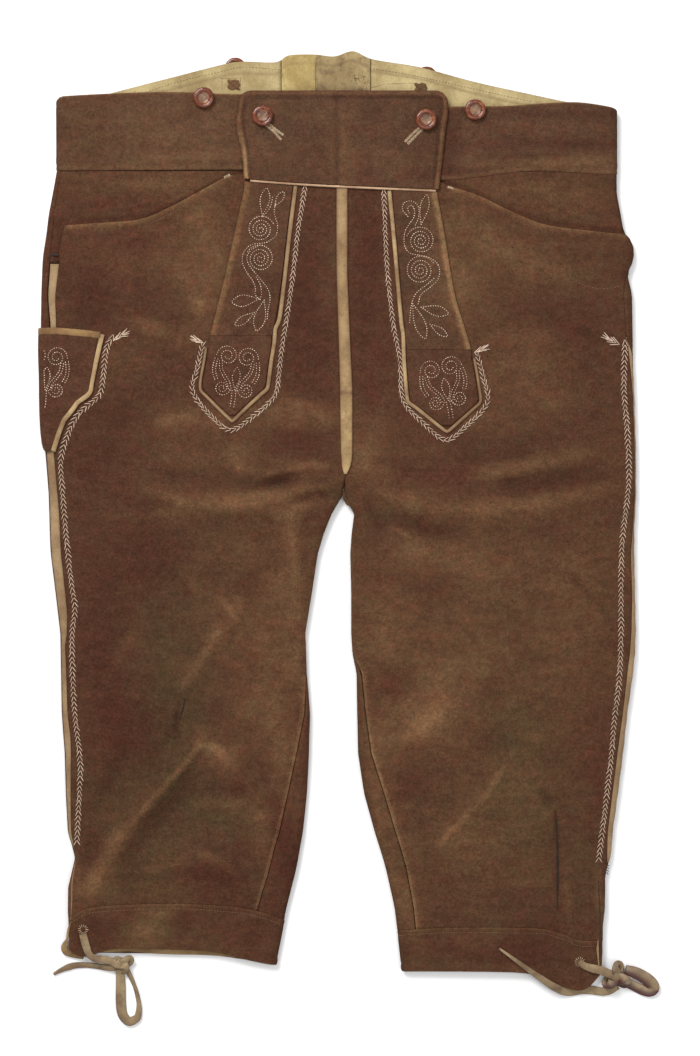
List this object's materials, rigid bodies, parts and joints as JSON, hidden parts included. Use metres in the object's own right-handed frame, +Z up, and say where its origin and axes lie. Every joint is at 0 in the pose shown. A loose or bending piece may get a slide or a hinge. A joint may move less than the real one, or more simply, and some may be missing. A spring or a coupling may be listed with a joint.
{
  "type": "leather breeches",
  "caption": "Knee-length leather breeches lying flat, with a wide waistband, buttoned front flap, embroidered tongues, a knife pocket and laced knee cuffs.",
  "frame": {"origin": "centre of the garment's outline, without its laces, on the surface it lies on", "axes": "+Y from the knee cuffs to the waistband, +X to the wearer's left, +Z up out of the front of the garment"},
  "size_m": [0.5285, 0.8293, 0.0202],
  "materials": {
    "suede": "dark olive-brown suede, worn",
    "strip": "olive-brown suede, embroidered",
    "cream": "cream suede",
    "binding": "tan suede",
    "facing": "cream twill",
    "gusset": "worn cream cloth",
    "button": "polished horn imitation",
    "lace": "cream leather"
  },
  "bodies": {
    "root": {"back_left": "suede", "back_right": "suede", "button_back_left": "button", "button_back_right": "button", "button_flap_left": "button", "button_flap_right": "button", "button_patch_left": "suede", "button_patch_right": "suede", "button_waist_left": "button", "button_waist_right": "button", "centre_strip": "cream", "cuff_left": "suede", "cuff_right": "suede", "facing_left": "facing", "facing_right": "facing", "flap_piping": "cream", "flap_waistband": "suede", "front_left": "suede", "front_right": "suede", "gusset_left": "gusset", "gusset_right": "gusset", "knife_pocket": "suede", "knife_pocket_binding": "binding", "knife_pocket_piping": "cream", "knot_left": "lace", "knot_right": "lace", "lace_left_end": "lace", "lace_left_loop": "lace", "lace_left_tie": "lace", "lace_right_end": "lace", "lace_right_loop": "lace", "lace_right_tie": "lace", "piping_left": "cream", "piping_right": "cream", "placket_left": "strip", "placket_right": "strip", "side_welt_left": "cream", "side_welt_right": "cream", "tongue_left": "strip", "tongue_right": "strip", "waistband_back_left": "suede", "waistband_back_right": "suede", "waistband_front_left": "suede", "waistband_front_right": "suede", "yoke_left": "suede", "yoke_right": "suede"}
  },
  "joints": []
}
